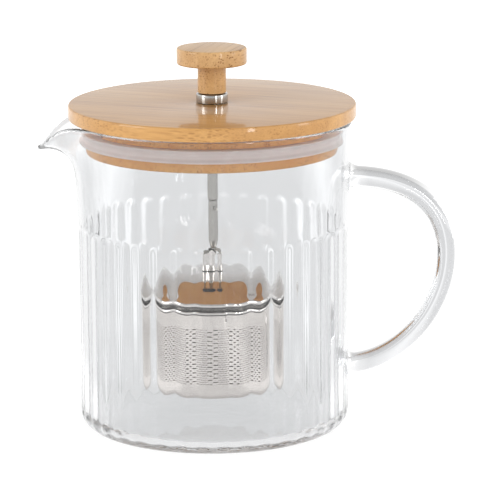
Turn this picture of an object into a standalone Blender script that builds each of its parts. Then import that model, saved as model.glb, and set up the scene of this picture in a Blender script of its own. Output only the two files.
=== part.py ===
"""Fluted glass teapot with a bamboo lid and a steel tea infuser on a sliding rod.

Metres, +Z up. The origin is the centre of the pot's flat base, on the pot's axis.
The spout points along -X and the handle along +X.
"""

import math

import bmesh
import bpy
from mathutils import Vector

OBJECT_NAME = "glass_teapot"
GAP = 0.0003  # clearance between neighbouring pieces
WIDE_STEPS = 40  # sides of the large round pieces
KNOB_STEPS = 36
SMALL_STEPS = 24  # sides of the small ones
PIN_STEPS = 16
MERGE_DISTANCE = 0.00001
SHARP_ANGLE = math.radians(35.0)
CUT_MARGIN = 0.0010  # how far a cutter runs past the piece that it cuts

# Glass pot
FLUTED_R = 0.0550  # over the ridges between the flutes
PLAIN_R = 0.0557  # smooth band above the flutes
RIM_R = 0.0569
RIM_Z = 0.1277
POT_WALL = 0.0021
POT_FLOOR = 0.0032
POT_CORNER_R = 0.0066  # outside edge of the base
POT_INNER_CORNER_R = 0.0055
FLUTE_COUNT = 40
FLUTE_DEPTH = 0.00045
FLUTE_TOP_Z = 0.0864
SHOULDER_Z = (0.0820, 0.0980)  # the wall widens from the flutes to the smooth band
FLARE_Z = 0.1190  # the rim starts to open here

# Spout, pulled out of the rim
SPOUT_ROOT_Z = 0.0980
SPOUT_TIP_R = 0.0710
SPOUT_TIP_Z = 0.1146
SPOUT_HALF_ANGLE = math.radians(36.6)
SPOUT_VEE_ANGLE = math.radians(8.0)  # how fast the edge climbs away from the tip
SPOUT_BLUNT_ANGLE = math.radians(2.0)
SPOUT_FEATHER = 0.2  # radians over which the dip fades out at the spout's two sides
SPOUT_BOTTOM_PULL = ((PLAIN_R, 0.1100), (0.0600, 0.1165))

# Glass handle, a bent rod in the XZ plane
HANDLE_R = 0.0047
HANDLE_TOP_Z = 0.1025
HANDLE_LOW_Z = 0.0238
HANDLE_REACH = 0.0957
HANDLE_MIDDLE_Z = 0.0702
HANDLE_FOOT_R = 0.0063
HANDLE_FOOT_LENGTH = 0.0040
HANDLE_UPPER_PULL = ((0.0834, HANDLE_TOP_Z), (HANDLE_REACH, 0.0898))
HANDLE_LOWER_PULL = ((HANDLE_REACH, 0.0478), (0.0767, HANDLE_LOW_Z))

# Bamboo lid
LID_R = 0.0584
LID_TOP_Z = 0.1337
LID_EDGE_R = 0.0008
PLUG_R = 0.0509
PLUG_Z = 0.1144
PLUG_GROOVE_R = 0.0475
SEAL_GROOVE_Z = (0.1182, 0.1242)
SEAL_LIP_R = 0.0532
PLUG_RECESS_R = 0.0095
PLUG_RECESS_DEPTH = 0.0052

# Guide bush for the rod, clamped through the lid
BUSH_COLLAR_R = 0.00645
BUSH_COLLAR_HEIGHT = 0.0036
BUSH_SLEEVE_R = 0.0040
BUSH_BORE_R = 0.00250
BUSH_CHAMFER = 0.0004
BUSH_FOOT_RISE = 0.0006  # the sleeve ends this far inside the plug
GRIP_GROOVE_R = 0.0044
GRIP_GROOVE_DROP = (0.0028, 0.0008)  # below the top of the collar
BUSH_NUT_FLATS = 0.0110
BUSH_NUT_HEIGHT = 0.0030
BUSH_WASHER_R = 0.0085
BUSH_WASHER_THICKNESS = 0.0008
NUT_BEVEL_SHARE = 0.08  # bevel of a nut's corners, as a share of its height

# Bamboo knob and its rod
KNOB_R = 0.0142
KNOB_DISC_Z = 0.1496
KNOB_TOP_Z = 0.1563
KNOB_STEM_R = 0.00575
KNOB_EDGE_R = 0.0008
KNOB_HOLE_R = 0.0039
KNOB_HOLE_DEPTH = 0.0106
INSERT_BORE_R = 0.00245
ROD_R = 0.00215
ROD_STEP_Z = 0.0936
ROD_CHAMFER = 0.0003
SPIGOT_R = 0.00115
SPIGOT_Z = 0.0865
PIN_R = 0.00055
PIN_Z = 0.0904
PIN_TURN = math.radians(-66.0)
PIN_HOLE_CLEARANCE = 0.0001

# Hanger tube under the rod
HANGER_R = 0.00195
HANGER_BORE_R = 0.00145
HANGER_TAPER_Z = (0.0740, 0.0770)
HANGER_THREAD_R = 0.00115
HANGER_END_Z = 0.0592
SLOT_TURN = math.radians(60.0)
STEM_TUBE_R = 0.0028
STEM_TUBE_BORE_R = 0.0023
STEM_FLANGE_R = 0.0034
STEM_FLANGE_HEIGHT = 0.0012
STEM_TUBE_TOP_Z = 0.0733

# Infuser cap, a shallow polished dome
DOME_APEX_Z = 0.0641
DOME_RIM_Z = 0.0571
DOME_R = 0.0285
DOME_THICKNESS = 0.0006
DOME_HOLE_R = 0.00145
DOME_ROW_RADII = (0.0100, 0.0170, 0.0220, 0.0255)
CAP_ROLL_R = 0.0012  # radius of the rolled edge
SKIRT_R = 0.0266
SKIRT_THICKNESS = 0.0005
SKIRT_Z = (0.0480, 0.0564)
CAP_WASHER_R = 0.0050
CAP_WASHER_THICKNESS = 0.0008
CAP_NUT_FLATS = 0.0055
CAP_NUT_HEIGHT = 0.0024

# Tea basket
BASKET_R = 0.0274
BASKET_THICKNESS = 0.0005
BASKET_Z = 0.0163
BASKET_TOP_Z = 0.0533
BASKET_CORNER_R = 0.0026
BASKET_FLOOR_GAP_R = 0.0236
FLOOR_LIP_WIDTH = 0.0015
BEAD_R = 0.0288
BEAD_HEIGHT = 0.0017
LUG_COUNT = 3
LUG_R = 0.0009
LUG_Z = 0.0500
LUG_REACH = 0.0006
LUG_FIRST_ANGLE = math.radians(-77.0)
LUG_TURN = math.radians(20.0)

PARTS = bpy.data.collections.new(OBJECT_NAME)
CUTTERS = bpy.data.collections.new("cutters")


# ---------------------------------------------------------------- helpers


def clear_scene():
    for obj in list(bpy.data.objects):
        bpy.data.objects.remove(obj, do_unlink=True)
    for collection in (PARTS, CUTTERS):
        bpy.context.scene.collection.children.link(collection)


def finish_of(name, colour, roughness, metallic=0.0, transmission=0.0):
    material = bpy.data.materials.new(name)
    material.use_nodes = True
    shader = material.node_tree.nodes["Principled BSDF"]
    shader.inputs["Base Color"].default_value = (*colour, 1.0)
    shader.inputs["Roughness"].default_value = roughness
    shader.inputs["Metallic"].default_value = metallic
    shader.inputs["Transmission Weight"].default_value = transmission
    material.diffuse_color = (*colour, 1.0)
    return material


def glass(name):
    return finish_of(name, (0.94, 0.95, 0.95), 0.02, transmission=1.0)


def bamboo(name):
    return finish_of(name, (0.72, 0.47, 0.25), 0.35)


def steel(name):
    return finish_of(name, (0.66, 0.63, 0.60), 0.18, metallic=1.0)


def silicone(name):
    return finish_of(name, (0.74, 0.68, 0.66), 0.5)


def arc(centre_r, centre_z, radius, start_deg, end_deg, steps):
    """Points (r, z) along an arc; 0 degrees points outwards and 90 up."""
    points = []
    for i in range(steps + 1):
        angle = math.radians(start_deg + (end_deg - start_deg) * i / steps)
        points.append((centre_r + radius * math.cos(angle), centre_z + radius * math.sin(angle)))
    return points


def ring(inner_r, outer_r, low_z, high_z):
    """Closed outline of a plain ring, down its outer side and up its inner side."""
    return [(inner_r, high_z), (outer_r, high_z), (outer_r, low_z), (inner_r, low_z)]


def shade(obj):
    obj.data.shade_smooth()
    obj.data.set_sharp_from_angle(angle=SHARP_ANGLE)


def turned(name, outline, steps, material=None, closed=False, collection=PARTS):
    """Solid of revolution of an outline (r, z), given down its outer side."""
    mesh = bpy.data.meshes.new(name)
    points = [(r, 0.0, z) for r, z in outline]
    edges = [(i, i + 1) for i in range(len(points) - 1)]
    if closed:
        edges.append((len(points) - 1, 0))
    mesh.from_pydata(points, edges, [])
    obj = bpy.data.objects.new(name, mesh)
    collection.objects.link(obj)
    screw = obj.modifiers.new("turn", "SCREW")
    screw.steps = steps
    screw.render_steps = steps
    screw.use_merge_vertices = True
    screw.merge_threshold = MERGE_DISTANCE
    bake(obj)
    if material:
        obj.data.materials.append(material)
    return obj


def bake(obj):
    """Puts the shape that the modifiers give into the object's own mesh."""
    graph = bpy.context.evaluated_depsgraph_get()
    mesh = bpy.data.meshes.new_from_object(obj.evaluated_get(graph))
    obj.modifiers.clear()
    obj.data = mesh
    shade(obj)


def boolean(obj, other, operation):
    modifier = obj.modifiers.new(operation.lower(), "BOOLEAN")
    modifier.operation = operation
    modifier.solver = "EXACT"
    modifier.object = other


def as_cutter(obj):
    obj.hide_render = True
    obj.display_type = "WIRE"
    return obj


def rod_between(name, start, end, radius, sides, collection, material=None):
    """Round bar between two points, from a cone primitive with equal ends."""
    start, end = Vector(start), Vector(end)
    shape = bmesh.new()
    bmesh.ops.create_cone(
        shape,
        cap_ends=True,
        segments=sides,
        radius1=radius,
        radius2=radius,
        depth=(end - start).length,
    )
    mesh = bpy.data.meshes.new(name)
    shape.to_mesh(mesh)
    shape.free()
    obj = bpy.data.objects.new(name, mesh)
    collection.objects.link(obj)
    obj.location = (start + end) / 2
    obj.rotation_mode = "QUATERNION"
    obj.rotation_quaternion = (end - start).to_track_quat("Z", "Y")
    if material:
        mesh.materials.append(material)
    shade(obj)
    return obj


def hex_nut(name, across_flats, height, low_z, bore_r, material):
    """Hexagon nut on the pot's axis, with bevelled corners and a plain bore."""
    circumradius = across_flats / 2 / math.cos(math.pi / 6)
    high_z = low_z + height
    nut = rod_between(name, (0, 0, low_z), (0, 0, high_z), circumradius, 6, PARTS, material)
    bevel = nut.modifiers.new("corners", "BEVEL")
    bevel.width = height * NUT_BEVEL_SHARE
    bevel.segments = 1
    start, end = (0, 0, low_z - CUT_MARGIN), (0, 0, high_z + CUT_MARGIN)
    bore = as_cutter(rod_between(name + "_bore", start, end, bore_r, SMALL_STEPS, CUTTERS))
    boolean(nut, bore, "DIFFERENCE")
    return nut


def smooth(value, low, high):
    t = min(1.0, max(0.0, (value - low) / (high - low)))
    return t * t * (3 - 2 * t)


def bezier(start, pull_a, pull_b, end, t):
    """Point of a cubic curve in a plane."""
    weights = ((1 - t) ** 3, 3 * t * (1 - t) ** 2, 3 * t * t * (1 - t), t**3)
    points = (start, pull_a, pull_b, end)
    return tuple(sum(w * p[k] for w, p in zip(weights, points)) for k in (0, 1))


# ---------------------------------------------------------------- glass pot


def wall_r(z):
    """Outside radius of the pot's wall at a height, without flutes or spout."""
    if z < POT_CORNER_R:
        drop = POT_CORNER_R - z
        return FLUTED_R - POT_CORNER_R + math.sqrt(max(0.0, POT_CORNER_R**2 - drop**2))
    radius = FLUTED_R + (PLAIN_R - FLUTED_R) * smooth(z, *SHOULDER_Z)
    return radius + (RIM_R - PLAIN_R) * max(0.0, (z - FLARE_Z) / (RIM_Z - FLARE_Z)) ** 2


def wall_point(angle, z):
    """Point on the outside of the wall, with the spout pulled out of the rim."""
    radius, height = wall_r(z), z
    off = abs(math.remainder(angle - math.pi, math.tau))
    if z > SPOUT_ROOT_Z and off < SPOUT_HALF_ANGLE:
        t = (z - SPOUT_ROOT_Z) / (RIM_Z - SPOUT_ROOT_Z)
        tip = (SPOUT_TIP_R, SPOUT_TIP_Z)
        trough_r, trough_z = bezier((PLAIN_R, SPOUT_ROOT_Z), *SPOUT_BOTTOM_PULL, tip, t)
        edge_r = RIM_R / math.cos(SPOUT_HALF_ANGLE - off)
        out = (edge_r - RIM_R) / (RIM_R / math.cos(SPOUT_HALF_ANGLE) - RIM_R)
        blunt = math.hypot(off, SPOUT_BLUNT_ANGLE) - SPOUT_BLUNT_ANGLE
        down = math.exp(-blunt / SPOUT_VEE_ANGLE) * smooth(SPOUT_HALF_ANGLE - off, 0.0, SPOUT_FEATHER)
        radius += (trough_r - radius) * out
        height += (trough_z - height) * down
    return Vector((radius * math.cos(angle), radius * math.sin(angle), height))


def flute_depth(angle, z):
    """Depth of the hollow flutes, round-topped and running out at the base."""
    pitch = math.tau / FLUTE_COUNT
    across = math.remainder(angle - pitch / 2, pitch) / (pitch / 2)
    half_width = FLUTED_R * pitch / 2
    up = max(0.0, (z - (FLUTE_TOP_Z - half_width)) / half_width)
    return FLUTE_DEPTH * max(0.0, 1 - across**2 - up**2) * smooth(z, 0.0, POT_CORNER_R)


def make_glass_body():
    """Turned pot whose outside is then fluted and whose rim is pulled out into the spout."""
    edge_z = RIM_Z - POT_WALL / 2
    spout_rows = [SPOUT_ROOT_Z + (edge_z - SPOUT_ROOT_Z) * i / 5 for i in range(6)]
    arch_z = FLUTE_TOP_Z - FLUTED_R * math.pi / FLUTE_COUNT
    middle = sum(SHOULDER_Z) / 2
    heights = [arch_z, FLUTE_TOP_Z, middle] + spout_rows
    inner_heights = [SHOULDER_Z[0], middle] + spout_rows
    corner = POT_INNER_CORNER_R
    outline = [(0.0, POT_FLOOR)]
    outline += arc(FLUTED_R - POT_WALL - corner, POT_FLOOR + corner, corner, -90, 0, 3)
    outline += [(wall_r(z) - POT_WALL, z) for z in inner_heights]
    outline += arc(wall_r(edge_z) - POT_WALL / 2, edge_z, POT_WALL / 2, 180, 0, 3)[1:-1]
    outline += [(wall_r(z), z) for z in reversed(heights)]
    outline += arc(FLUTED_R - POT_CORNER_R, POT_CORNER_R, POT_CORNER_R, 0, -90, 4)
    outline += [(0.0, 0.0)]
    body = turned("glass_body", outline, 2 * FLUTE_COUNT, glass("glass_body_finish"))
    for vertex in body.data.vertices:
        x, y, z = vertex.co
        radius, angle = math.hypot(x, y), math.atan2(y, x)
        if z > SPOUT_ROOT_Z:
            vertex.co = shifted_into_spout(radius, angle, z, edge_z)
        elif z > 0.001 and radius > wall_r(z) - POT_WALL / 2:
            scale = (radius - flute_depth(angle, z)) / radius
            vertex.co = (x * scale, y * scale, z)
    shade(body)
    return body


def shifted_into_spout(radius, angle, z, edge_z):
    """Moves a point of the plain wall to the same depth below the spout's outside."""
    step = 0.00002
    row = min(z, edge_z)
    here = wall_point(angle, row)
    up = (wall_point(angle, row) - wall_point(angle, row - step)).normalized()
    around = wall_point(angle + step, row) - wall_point(angle - step, row)
    outwards = around.cross(up).normalized()
    return here - outwards * (wall_r(row) - radius) + up * (z - row)


def make_glass_handle():
    """Bent glass rod whose two ends flare into feet against the pot."""
    top = (PLAIN_R + 2 * GAP, HANDLE_TOP_Z)
    low = (FLUTED_R + 2 * GAP, HANDLE_LOW_Z)
    crest = (HANDLE_REACH, HANDLE_MIDDLE_Z)
    upper = (top, *HANDLE_UPPER_PULL, crest)
    lower = (crest, *HANDLE_LOWER_PULL, low)
    steps = 9
    route = [bezier(*upper, i / steps) for i in range(steps + 1)]
    route += [bezier(*lower, i / steps) for i in range(1, steps + 1)]
    foot = HANDLE_FOOT_LENGTH
    route.insert(1, (top[0] + foot / 3, top[1]))
    route.insert(-1, (low[0] + foot / 3, low[1]))
    curve = bpy.data.curves.new("handle_rod", "CURVE")
    curve.dimensions = "3D"
    curve.bevel_depth = HANDLE_R
    curve.bevel_resolution = 3
    curve.use_fill_caps = True
    spline = curve.splines.new("POLY")
    spline.points.add(len(route) - 1)
    for point, (x, z) in zip(spline.points, route):
        from_wall = x - (top[0] if z > HANDLE_MIDDLE_Z else low[0])
        flare = (HANDLE_FOOT_R / HANDLE_R - 1) * max(0.0, 1 - from_wall / foot) ** 2
        point.co = (x, 0.0, z, 1.0)
        point.radius = 1 + flare
    return mesh_of_curve("glass_handle", curve, glass("glass_handle_finish"))


def mesh_of_curve(name, curve, material):
    guide = bpy.data.objects.new(name + "_guide", curve)
    PARTS.objects.link(guide)
    graph = bpy.context.evaluated_depsgraph_get()
    mesh = bpy.data.meshes.new_from_object(guide.evaluated_get(graph))
    shape = bmesh.new()
    shape.from_mesh(mesh)
    bmesh.ops.remove_doubles(shape, verts=shape.verts, dist=MERGE_DISTANCE)
    bmesh.ops.recalc_face_normals(shape, faces=shape.faces)
    shape.to_mesh(mesh)
    shape.free()
    obj = bpy.data.objects.new(name, mesh)
    obj.matrix_world = guide.matrix_world
    PARTS.objects.link(obj)
    bpy.data.objects.remove(guide, do_unlink=True)
    mesh.materials.clear()
    mesh.materials.append(material)
    shade(obj)
    return obj


# ---------------------------------------------------------------- lid


def make_lid():
    """Bamboo board, the plug under it and the silicone seal in the plug's groove."""
    low = RIM_Z + GAP
    hole = BUSH_SLEEVE_R + GAP
    edge = LID_EDGE_R
    disc = [(hole, LID_TOP_Z)]
    disc += arc(LID_R - edge, LID_TOP_Z - edge, edge, 90, 0, 2)
    disc += arc(LID_R - edge, low + edge, edge, 0, -90, 2)
    disc += [(hole, low)]
    turned("lid_disc", disc, WIDE_STEPS, bamboo("lid_disc_finish"), closed=True)

    plug_top = low - GAP
    recess_z = PLUG_Z + PLUG_RECESS_DEPTH
    groove_low, groove_high = SEAL_GROOVE_Z
    plug = [
        (hole, plug_top),
        (PLUG_R, plug_top),
        (PLUG_R, groove_high),
        (PLUG_GROOVE_R, groove_high),
        (PLUG_GROOVE_R, groove_low),
        (PLUG_R, groove_low),
        (PLUG_R, PLUG_Z + edge),
        (PLUG_R - edge, PLUG_Z),
        (PLUG_RECESS_R, PLUG_Z),
        (PLUG_RECESS_R, recess_z),
        (hole, recess_z),
    ]
    turned("lid_plug", plug, WIDE_STEPS, bamboo("lid_plug_finish"), closed=True)
    make_seal(groove_low + GAP, groove_high - GAP)


def make_seal(low, high):
    """Silicone band in the plug's groove, with two lips that wipe the glass."""
    inner = PLUG_GROOVE_R + GAP
    band = PLUG_R + GAP
    lip = (high - low) / 4
    slope = lip / 5
    outline = [(inner, high)]
    for top in (high, high - 2 * lip):
        outline += [(SEAL_LIP_R, top), (SEAL_LIP_R, top - lip)]
        outline += [(band, top - lip - slope), (band, top - 2 * lip + slope)]
    outline[-1] = (band, low)
    outline += [(inner, low)]
    turned("silicone_seal", outline, WIDE_STEPS, silicone("seal_finish"), closed=True)


def make_guide_bush():
    """Steel bush through the lid, its silicone grip ring, washer and nut."""
    low = LID_TOP_Z + GAP
    top = low + BUSH_COLLAR_HEIGHT
    groove = [top - drop for drop in GRIP_GROOVE_DROP]
    end_z = PLUG_Z + BUSH_FOOT_RISE
    bush = [
        (BUSH_BORE_R, top),
        (BUSH_COLLAR_R - BUSH_CHAMFER, top),
        (BUSH_COLLAR_R, top - BUSH_CHAMFER),
        (BUSH_COLLAR_R, low),
        (BUSH_SLEEVE_R, low),
        (BUSH_SLEEVE_R, end_z),
        (BUSH_BORE_R, end_z),
        (BUSH_BORE_R, groove[0]),
        (GRIP_GROOVE_R, groove[0]),
        (GRIP_GROOVE_R, groove[1]),
        (BUSH_BORE_R, groove[1]),
    ]
    turned("guide_bush", bush, SMALL_STEPS, steel("guide_bush_finish"), closed=True)

    ring_r = (groove[1] - groove[0]) / 2 - GAP
    ring_centre = GRIP_GROOVE_R - GAP - ring_r
    outline = arc(ring_centre, sum(groove) / 2, ring_r, 90, -270, 6)[:-1]
    turned("rod_grip_ring", outline, SMALL_STEPS, silicone("grip_ring_finish"), closed=True)

    washer_top = PLUG_Z + PLUG_RECESS_DEPTH - GAP
    washer_low = washer_top - BUSH_WASHER_THICKNESS
    bore = BUSH_SLEEVE_R + GAP
    outline = ring(bore, BUSH_WASHER_R, washer_low, washer_top)
    turned("bush_washer", outline, SMALL_STEPS, steel("bush_washer_finish"), closed=True)
    nut_low = washer_low - GAP - BUSH_NUT_HEIGHT
    finish = steel("bush_nut_finish")
    hex_nut("bush_nut", BUSH_NUT_FLATS, BUSH_NUT_HEIGHT, nut_low, bore, finish)


# ---------------------------------------------------------------- knob and rod


def make_knob():
    """Turned knob and the threaded insert in its stem; returns the insert's top."""
    low = LID_TOP_Z + GAP + BUSH_COLLAR_HEIGHT + GAP
    hole_top = low + KNOB_HOLE_DEPTH
    edge = KNOB_EDGE_R
    outline = [(0.0, KNOB_TOP_Z)]
    outline += arc(KNOB_R - edge, KNOB_TOP_Z - edge, edge, 90, 0, 2)
    outline += arc(KNOB_R - edge, KNOB_DISC_Z + edge, edge, 0, -90, 2)
    outline += arc(KNOB_STEM_R + edge, KNOB_DISC_Z - edge, edge, 90, 180, 2)
    outline += [(KNOB_STEM_R, low), (KNOB_HOLE_R, low), (KNOB_HOLE_R, hole_top), (0.0, hole_top)]
    turned("knob", outline, KNOB_STEPS, bamboo("knob_finish"))

    insert_top = hole_top - GAP
    outline = ring(INSERT_BORE_R, KNOB_HOLE_R - GAP, low + GAP, insert_top)
    turned("knob_insert", outline, SMALL_STEPS, steel("knob_insert_finish"), closed=True)
    return insert_top


def make_push_rod(top_z):
    """Rod with a thinner spigot at its foot, and the cross pin through the spigot."""
    outline = [
        (0.0, top_z),
        (ROD_R, top_z),
        (ROD_R, ROD_STEP_Z + ROD_CHAMFER),
        (ROD_R - ROD_CHAMFER, ROD_STEP_Z),
        (SPIGOT_R, ROD_STEP_Z),
        (SPIGOT_R, SPIGOT_Z),
        (0.0, SPIGOT_Z),
    ]
    rod = turned("push_rod", outline, SMALL_STEPS, steel("push_rod_finish"))
    start, end = pin_ends(HANGER_R + CUT_MARGIN)
    hole_r = PIN_R + PIN_HOLE_CLEARANCE
    hole = as_cutter(rod_between("pin_hole", start, end, hole_r, PIN_STEPS, CUTTERS))
    boolean(rod, hole, "DIFFERENCE")
    start, end = pin_ends(HANGER_R)
    rod_between("coupling_pin", start, end, PIN_R, PIN_STEPS, PARTS, steel("coupling_pin_finish"))


def pin_ends(reach):
    """Two ends of the cross pin, at this distance from the axis."""
    x, y = reach * math.cos(PIN_TURN), reach * math.sin(PIN_TURN)
    return (x, y, PIN_Z), (-x, -y, PIN_Z)


# ---------------------------------------------------------------- infuser cap


def slot_cutter(name, start_angle, sweep, low_z, high_z, inner_r, outer_r):
    """Curved block on the pot's axis that cuts the level leg of a bayonet slot."""
    shape = bmesh.new()
    corners = [(inner_r, low_z), (outer_r, low_z), (outer_r, high_z), (inner_r, high_z)]
    section = [
        shape.verts.new((r * math.cos(start_angle), r * math.sin(start_angle), z)) for r, z in corners
    ]
    face = shape.faces.new(section)
    bmesh.ops.spin(
        shape,
        geom=[face],
        cent=(0, 0, 0),
        axis=(0, 0, 1),
        angle=sweep,
        steps=max(2, round(abs(math.degrees(sweep)) / 10)),
        use_duplicate=False,
    )
    bmesh.ops.recalc_face_normals(shape, faces=shape.faces)
    mesh = bpy.data.meshes.new(name)
    shape.to_mesh(mesh)
    shape.free()
    obj = bpy.data.objects.new(name, mesh)
    CUTTERS.objects.link(obj)
    return as_cutter(obj)


def cut_bayonet_slot(obj, name, angle, turn, middle_z, half, open_z, radii):
    """L-shaped slot: a level leg at middle_z, then a leg that leaves at open_z."""
    inner_r, outer_r = radii
    reach = math.asin(half / outer_r)
    level = slot_cutter(
        name + "_level",
        angle - reach,
        turn + 2 * reach,
        middle_z - half,
        middle_z + half,
        inner_r,
        outer_r,
    )
    way_out = slot_cutter(
        name + "_way_out",
        angle + turn - reach,
        2 * reach,
        min(open_z, middle_z),
        max(open_z, middle_z),
        inner_r,
        outer_r,
    )
    boolean(obj, level, "DIFFERENCE")
    boolean(obj, way_out, "DIFFERENCE")


def make_hanger_tube():
    """Tube that hooks over the rod's pin and carries the infuser."""
    top = ROD_STEP_Z - GAP
    taper_low, taper_high = HANGER_TAPER_Z
    bore_end = SPIGOT_Z - GAP
    outline = [
        (0.0, bore_end),
        (HANGER_BORE_R, bore_end),
        (HANGER_BORE_R, top),
        (HANGER_R, top),
        (HANGER_R, taper_high),
        (HANGER_THREAD_R, taper_low),
        (HANGER_THREAD_R, HANGER_END_Z),
        (0.0, HANGER_END_Z),
    ]
    tube = turned("hanger_tube", outline, SMALL_STEPS, steel("hanger_tube_finish"))
    radii = ((SPIGOT_R + HANGER_BORE_R) / 2, HANGER_R + CUT_MARGIN / 2)
    half, open_z = PIN_R + GAP, top + CUT_MARGIN
    for i in range(2):
        angle = PIN_TURN + i * math.pi
        cut_bayonet_slot(tube, f"hook_{i}", angle, SLOT_TURN, PIN_Z, half, open_z, radii)


def dome_z(radius):
    return DOME_RIM_Z + (DOME_APEX_Z - DOME_RIM_Z) * (1 - (radius / DOME_R) ** 4)


def make_infuser_cap():
    """Stem tube, dome, skirt with its bayonet slots, and the washer and nut underneath."""
    flange_top = DOME_APEX_Z + GAP + STEM_FLANGE_HEIGHT
    stem = [
        (STEM_TUBE_BORE_R, STEM_TUBE_TOP_Z),
        (STEM_TUBE_R, STEM_TUBE_TOP_Z),
        (STEM_TUBE_R, flange_top),
        (STEM_FLANGE_R, flange_top),
        (STEM_FLANGE_R, DOME_APEX_Z + GAP),
        (DOME_HOLE_R, DOME_APEX_Z + GAP),
        (DOME_HOLE_R, flange_top),
        (STEM_TUBE_BORE_R, flange_top),
    ]
    turned("stem_tube", stem, SMALL_STEPS, steel("stem_tube_finish"), closed=True)

    radii = (DOME_HOLE_R, *DOME_ROW_RADII)
    outline = [(r, dome_z(r)) for r in (*radii, DOME_R)]
    outline += arc(DOME_R, DOME_RIM_Z - CAP_ROLL_R, CAP_ROLL_R, 60, -120, 4)
    outline += [(r, dome_z(r) - DOME_THICKNESS) for r in reversed(radii)]
    turned("cap_dome", outline, WIDE_STEPS, steel("cap_dome_finish"), closed=True)

    low, high = SKIRT_Z
    skirt = turned(
        "cap_skirt",
        ring(SKIRT_R - SKIRT_THICKNESS, SKIRT_R, low, high),
        WIDE_STEPS,
        steel("cap_skirt_finish"),
        closed=True,
    )
    radii = (SKIRT_R - 2 * SKIRT_THICKNESS, SKIRT_R + SKIRT_THICKNESS)
    half, open_z = LUG_R + GAP, low - CUT_MARGIN
    for i, angle in enumerate(lug_angles()):
        cut_bayonet_slot(skirt, f"lock_{i}", angle, LUG_TURN, LUG_Z, half, open_z, radii)

    washer_top = dome_z(CAP_WASHER_R) - DOME_THICKNESS - GAP
    washer_low = washer_top - CAP_WASHER_THICKNESS
    outline = ring(DOME_HOLE_R, CAP_WASHER_R, washer_low, washer_top)
    turned("cap_washer", outline, SMALL_STEPS, steel("cap_washer_finish"), closed=True)
    nut_low = washer_low - GAP - CAP_NUT_HEIGHT
    finish = steel("cap_nut_finish")
    hex_nut("cap_nut", CAP_NUT_FLATS, CAP_NUT_HEIGHT, nut_low, HANGER_THREAD_R + GAP, finish)


# ---------------------------------------------------------------- basket


def lug_angles():
    return [LUG_FIRST_ANGLE + i * math.tau / LUG_COUNT for i in range(LUG_COUNT)]


def make_basket():
    """Rolled wall with inward lugs, a beaded rim ring and a pressed floor."""
    inner = BASKET_R - BASKET_THICKNESS
    corner = BASKET_CORNER_R
    bead_low = BASKET_TOP_Z - BEAD_HEIGHT
    wall_top = bead_low - GAP
    corner_z = BASKET_Z + corner
    outline = [(inner, wall_top), (BASKET_R, wall_top)]
    outline += arc(BASKET_R - corner, corner_z, corner, 0, -90, 3)
    outline += [(BASKET_FLOOR_GAP_R, BASKET_Z), (BASKET_FLOOR_GAP_R, BASKET_Z + BASKET_THICKNESS)]
    outline += arc(BASKET_R - corner, corner_z, corner - BASKET_THICKNESS, -90, 0, 3)
    wall = turned("basket_wall", outline, WIDE_STEPS, steel("basket_wall_finish"), closed=True)
    for i, angle in enumerate(lug_angles()):
        x, y = math.cos(angle), math.sin(angle)
        tip, root = SKIRT_R - LUG_REACH, BASKET_R - BASKET_THICKNESS / 2
        start, end = (tip * x, tip * y, LUG_Z), (root * x, root * y, LUG_Z)
        lug = as_cutter(rod_between(f"lug_{i}", start, end, LUG_R, PIN_STEPS, CUTTERS))
        boolean(wall, lug, "UNION")

    half = BEAD_HEIGHT / 2
    bead = [(inner, BASKET_TOP_Z)]
    bead += arc(BEAD_R - half, BASKET_TOP_Z - half, half, 90, -90, 4)
    bead += [(inner, bead_low)]
    turned("basket_rim", bead, WIDE_STEPS, steel("basket_rim_finish"), closed=True)

    floor_r = BASKET_FLOOR_GAP_R - GAP
    flat_r = floor_r - FLOOR_LIP_WIDTH
    floor = [
        (0.0, BASKET_Z + 2 * BASKET_THICKNESS),
        (flat_r, BASKET_Z + 2 * BASKET_THICKNESS),
        (floor_r, BASKET_Z + BASKET_THICKNESS),
        (floor_r, BASKET_Z),
        (flat_r, BASKET_Z + BASKET_THICKNESS),
        (0.0, BASKET_Z + BASKET_THICKNESS),
    ]
    turned("basket_floor", floor, WIDE_STEPS, steel("basket_floor_finish"))


def main():
    clear_scene()
    make_glass_body()
    make_glass_handle()
    make_lid()
    make_guide_bush()
    rod_top = make_knob()
    make_push_rod(rod_top)
    make_hanger_tube()
    make_infuser_cap()
    make_basket()


main()
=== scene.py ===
"""Looks of the fluted glass teapot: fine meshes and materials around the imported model.

Metres throughout, in the model's own frame: +Z up, spout along -X, handle along +X.
"""

import functools
import math

import bpy
from mathutils import Euler, Matrix, Vector


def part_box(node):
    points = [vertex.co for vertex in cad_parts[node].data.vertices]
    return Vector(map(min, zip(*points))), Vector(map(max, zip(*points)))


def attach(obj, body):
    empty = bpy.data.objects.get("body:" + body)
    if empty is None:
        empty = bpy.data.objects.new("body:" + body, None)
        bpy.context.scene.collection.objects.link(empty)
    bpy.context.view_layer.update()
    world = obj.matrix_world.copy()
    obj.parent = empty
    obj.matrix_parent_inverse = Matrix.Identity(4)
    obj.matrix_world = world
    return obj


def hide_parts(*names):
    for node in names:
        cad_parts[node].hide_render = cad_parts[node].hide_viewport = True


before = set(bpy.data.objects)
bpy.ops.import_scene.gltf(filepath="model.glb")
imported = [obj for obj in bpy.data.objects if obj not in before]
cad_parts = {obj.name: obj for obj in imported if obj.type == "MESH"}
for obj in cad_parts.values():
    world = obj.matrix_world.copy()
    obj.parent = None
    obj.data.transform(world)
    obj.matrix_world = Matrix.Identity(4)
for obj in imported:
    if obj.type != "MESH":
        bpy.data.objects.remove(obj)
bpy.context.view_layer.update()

TAU = math.tau
GAP = 0.0003  # between pieces that fit into each other
ON_AXIS = 1e-7  # a radius below this counts as zero
CORNER_SHARE = 0.45  # the most that a rounded corner takes of a side
NOISE_ROUGHNESS = 0.55

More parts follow.
